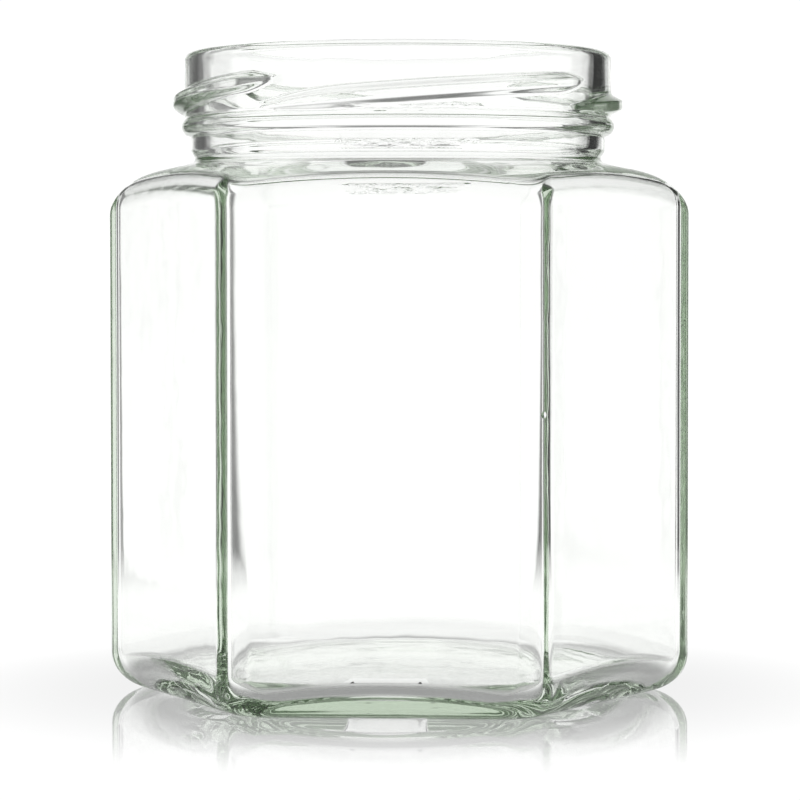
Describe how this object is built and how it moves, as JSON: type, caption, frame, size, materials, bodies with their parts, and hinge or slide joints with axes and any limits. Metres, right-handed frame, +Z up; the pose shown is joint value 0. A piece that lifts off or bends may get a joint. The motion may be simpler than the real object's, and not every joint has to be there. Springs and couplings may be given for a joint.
{
  "type": "hexagonal glass jar",
  "caption": "Clear glass food jar with a six-sided body, sloping shoulder, and round lugged neck for a twist-off lid, open and empty.",
  "frame": {"origin": "centre of the base, on the surface the jar stands on", "axes": "+Z up along the jar's axis, flat sides facing +Y and -Y, corners pointing along +X and -X"},
  "size_m": [0.09, 0.0794, 0.0986],
  "materials": {
    "glass": "clear polished soda-lime glass with a faint green cast"
  },
  "bodies": {
    "root": {"jar": "glass"}
  },
  "joints": []
}
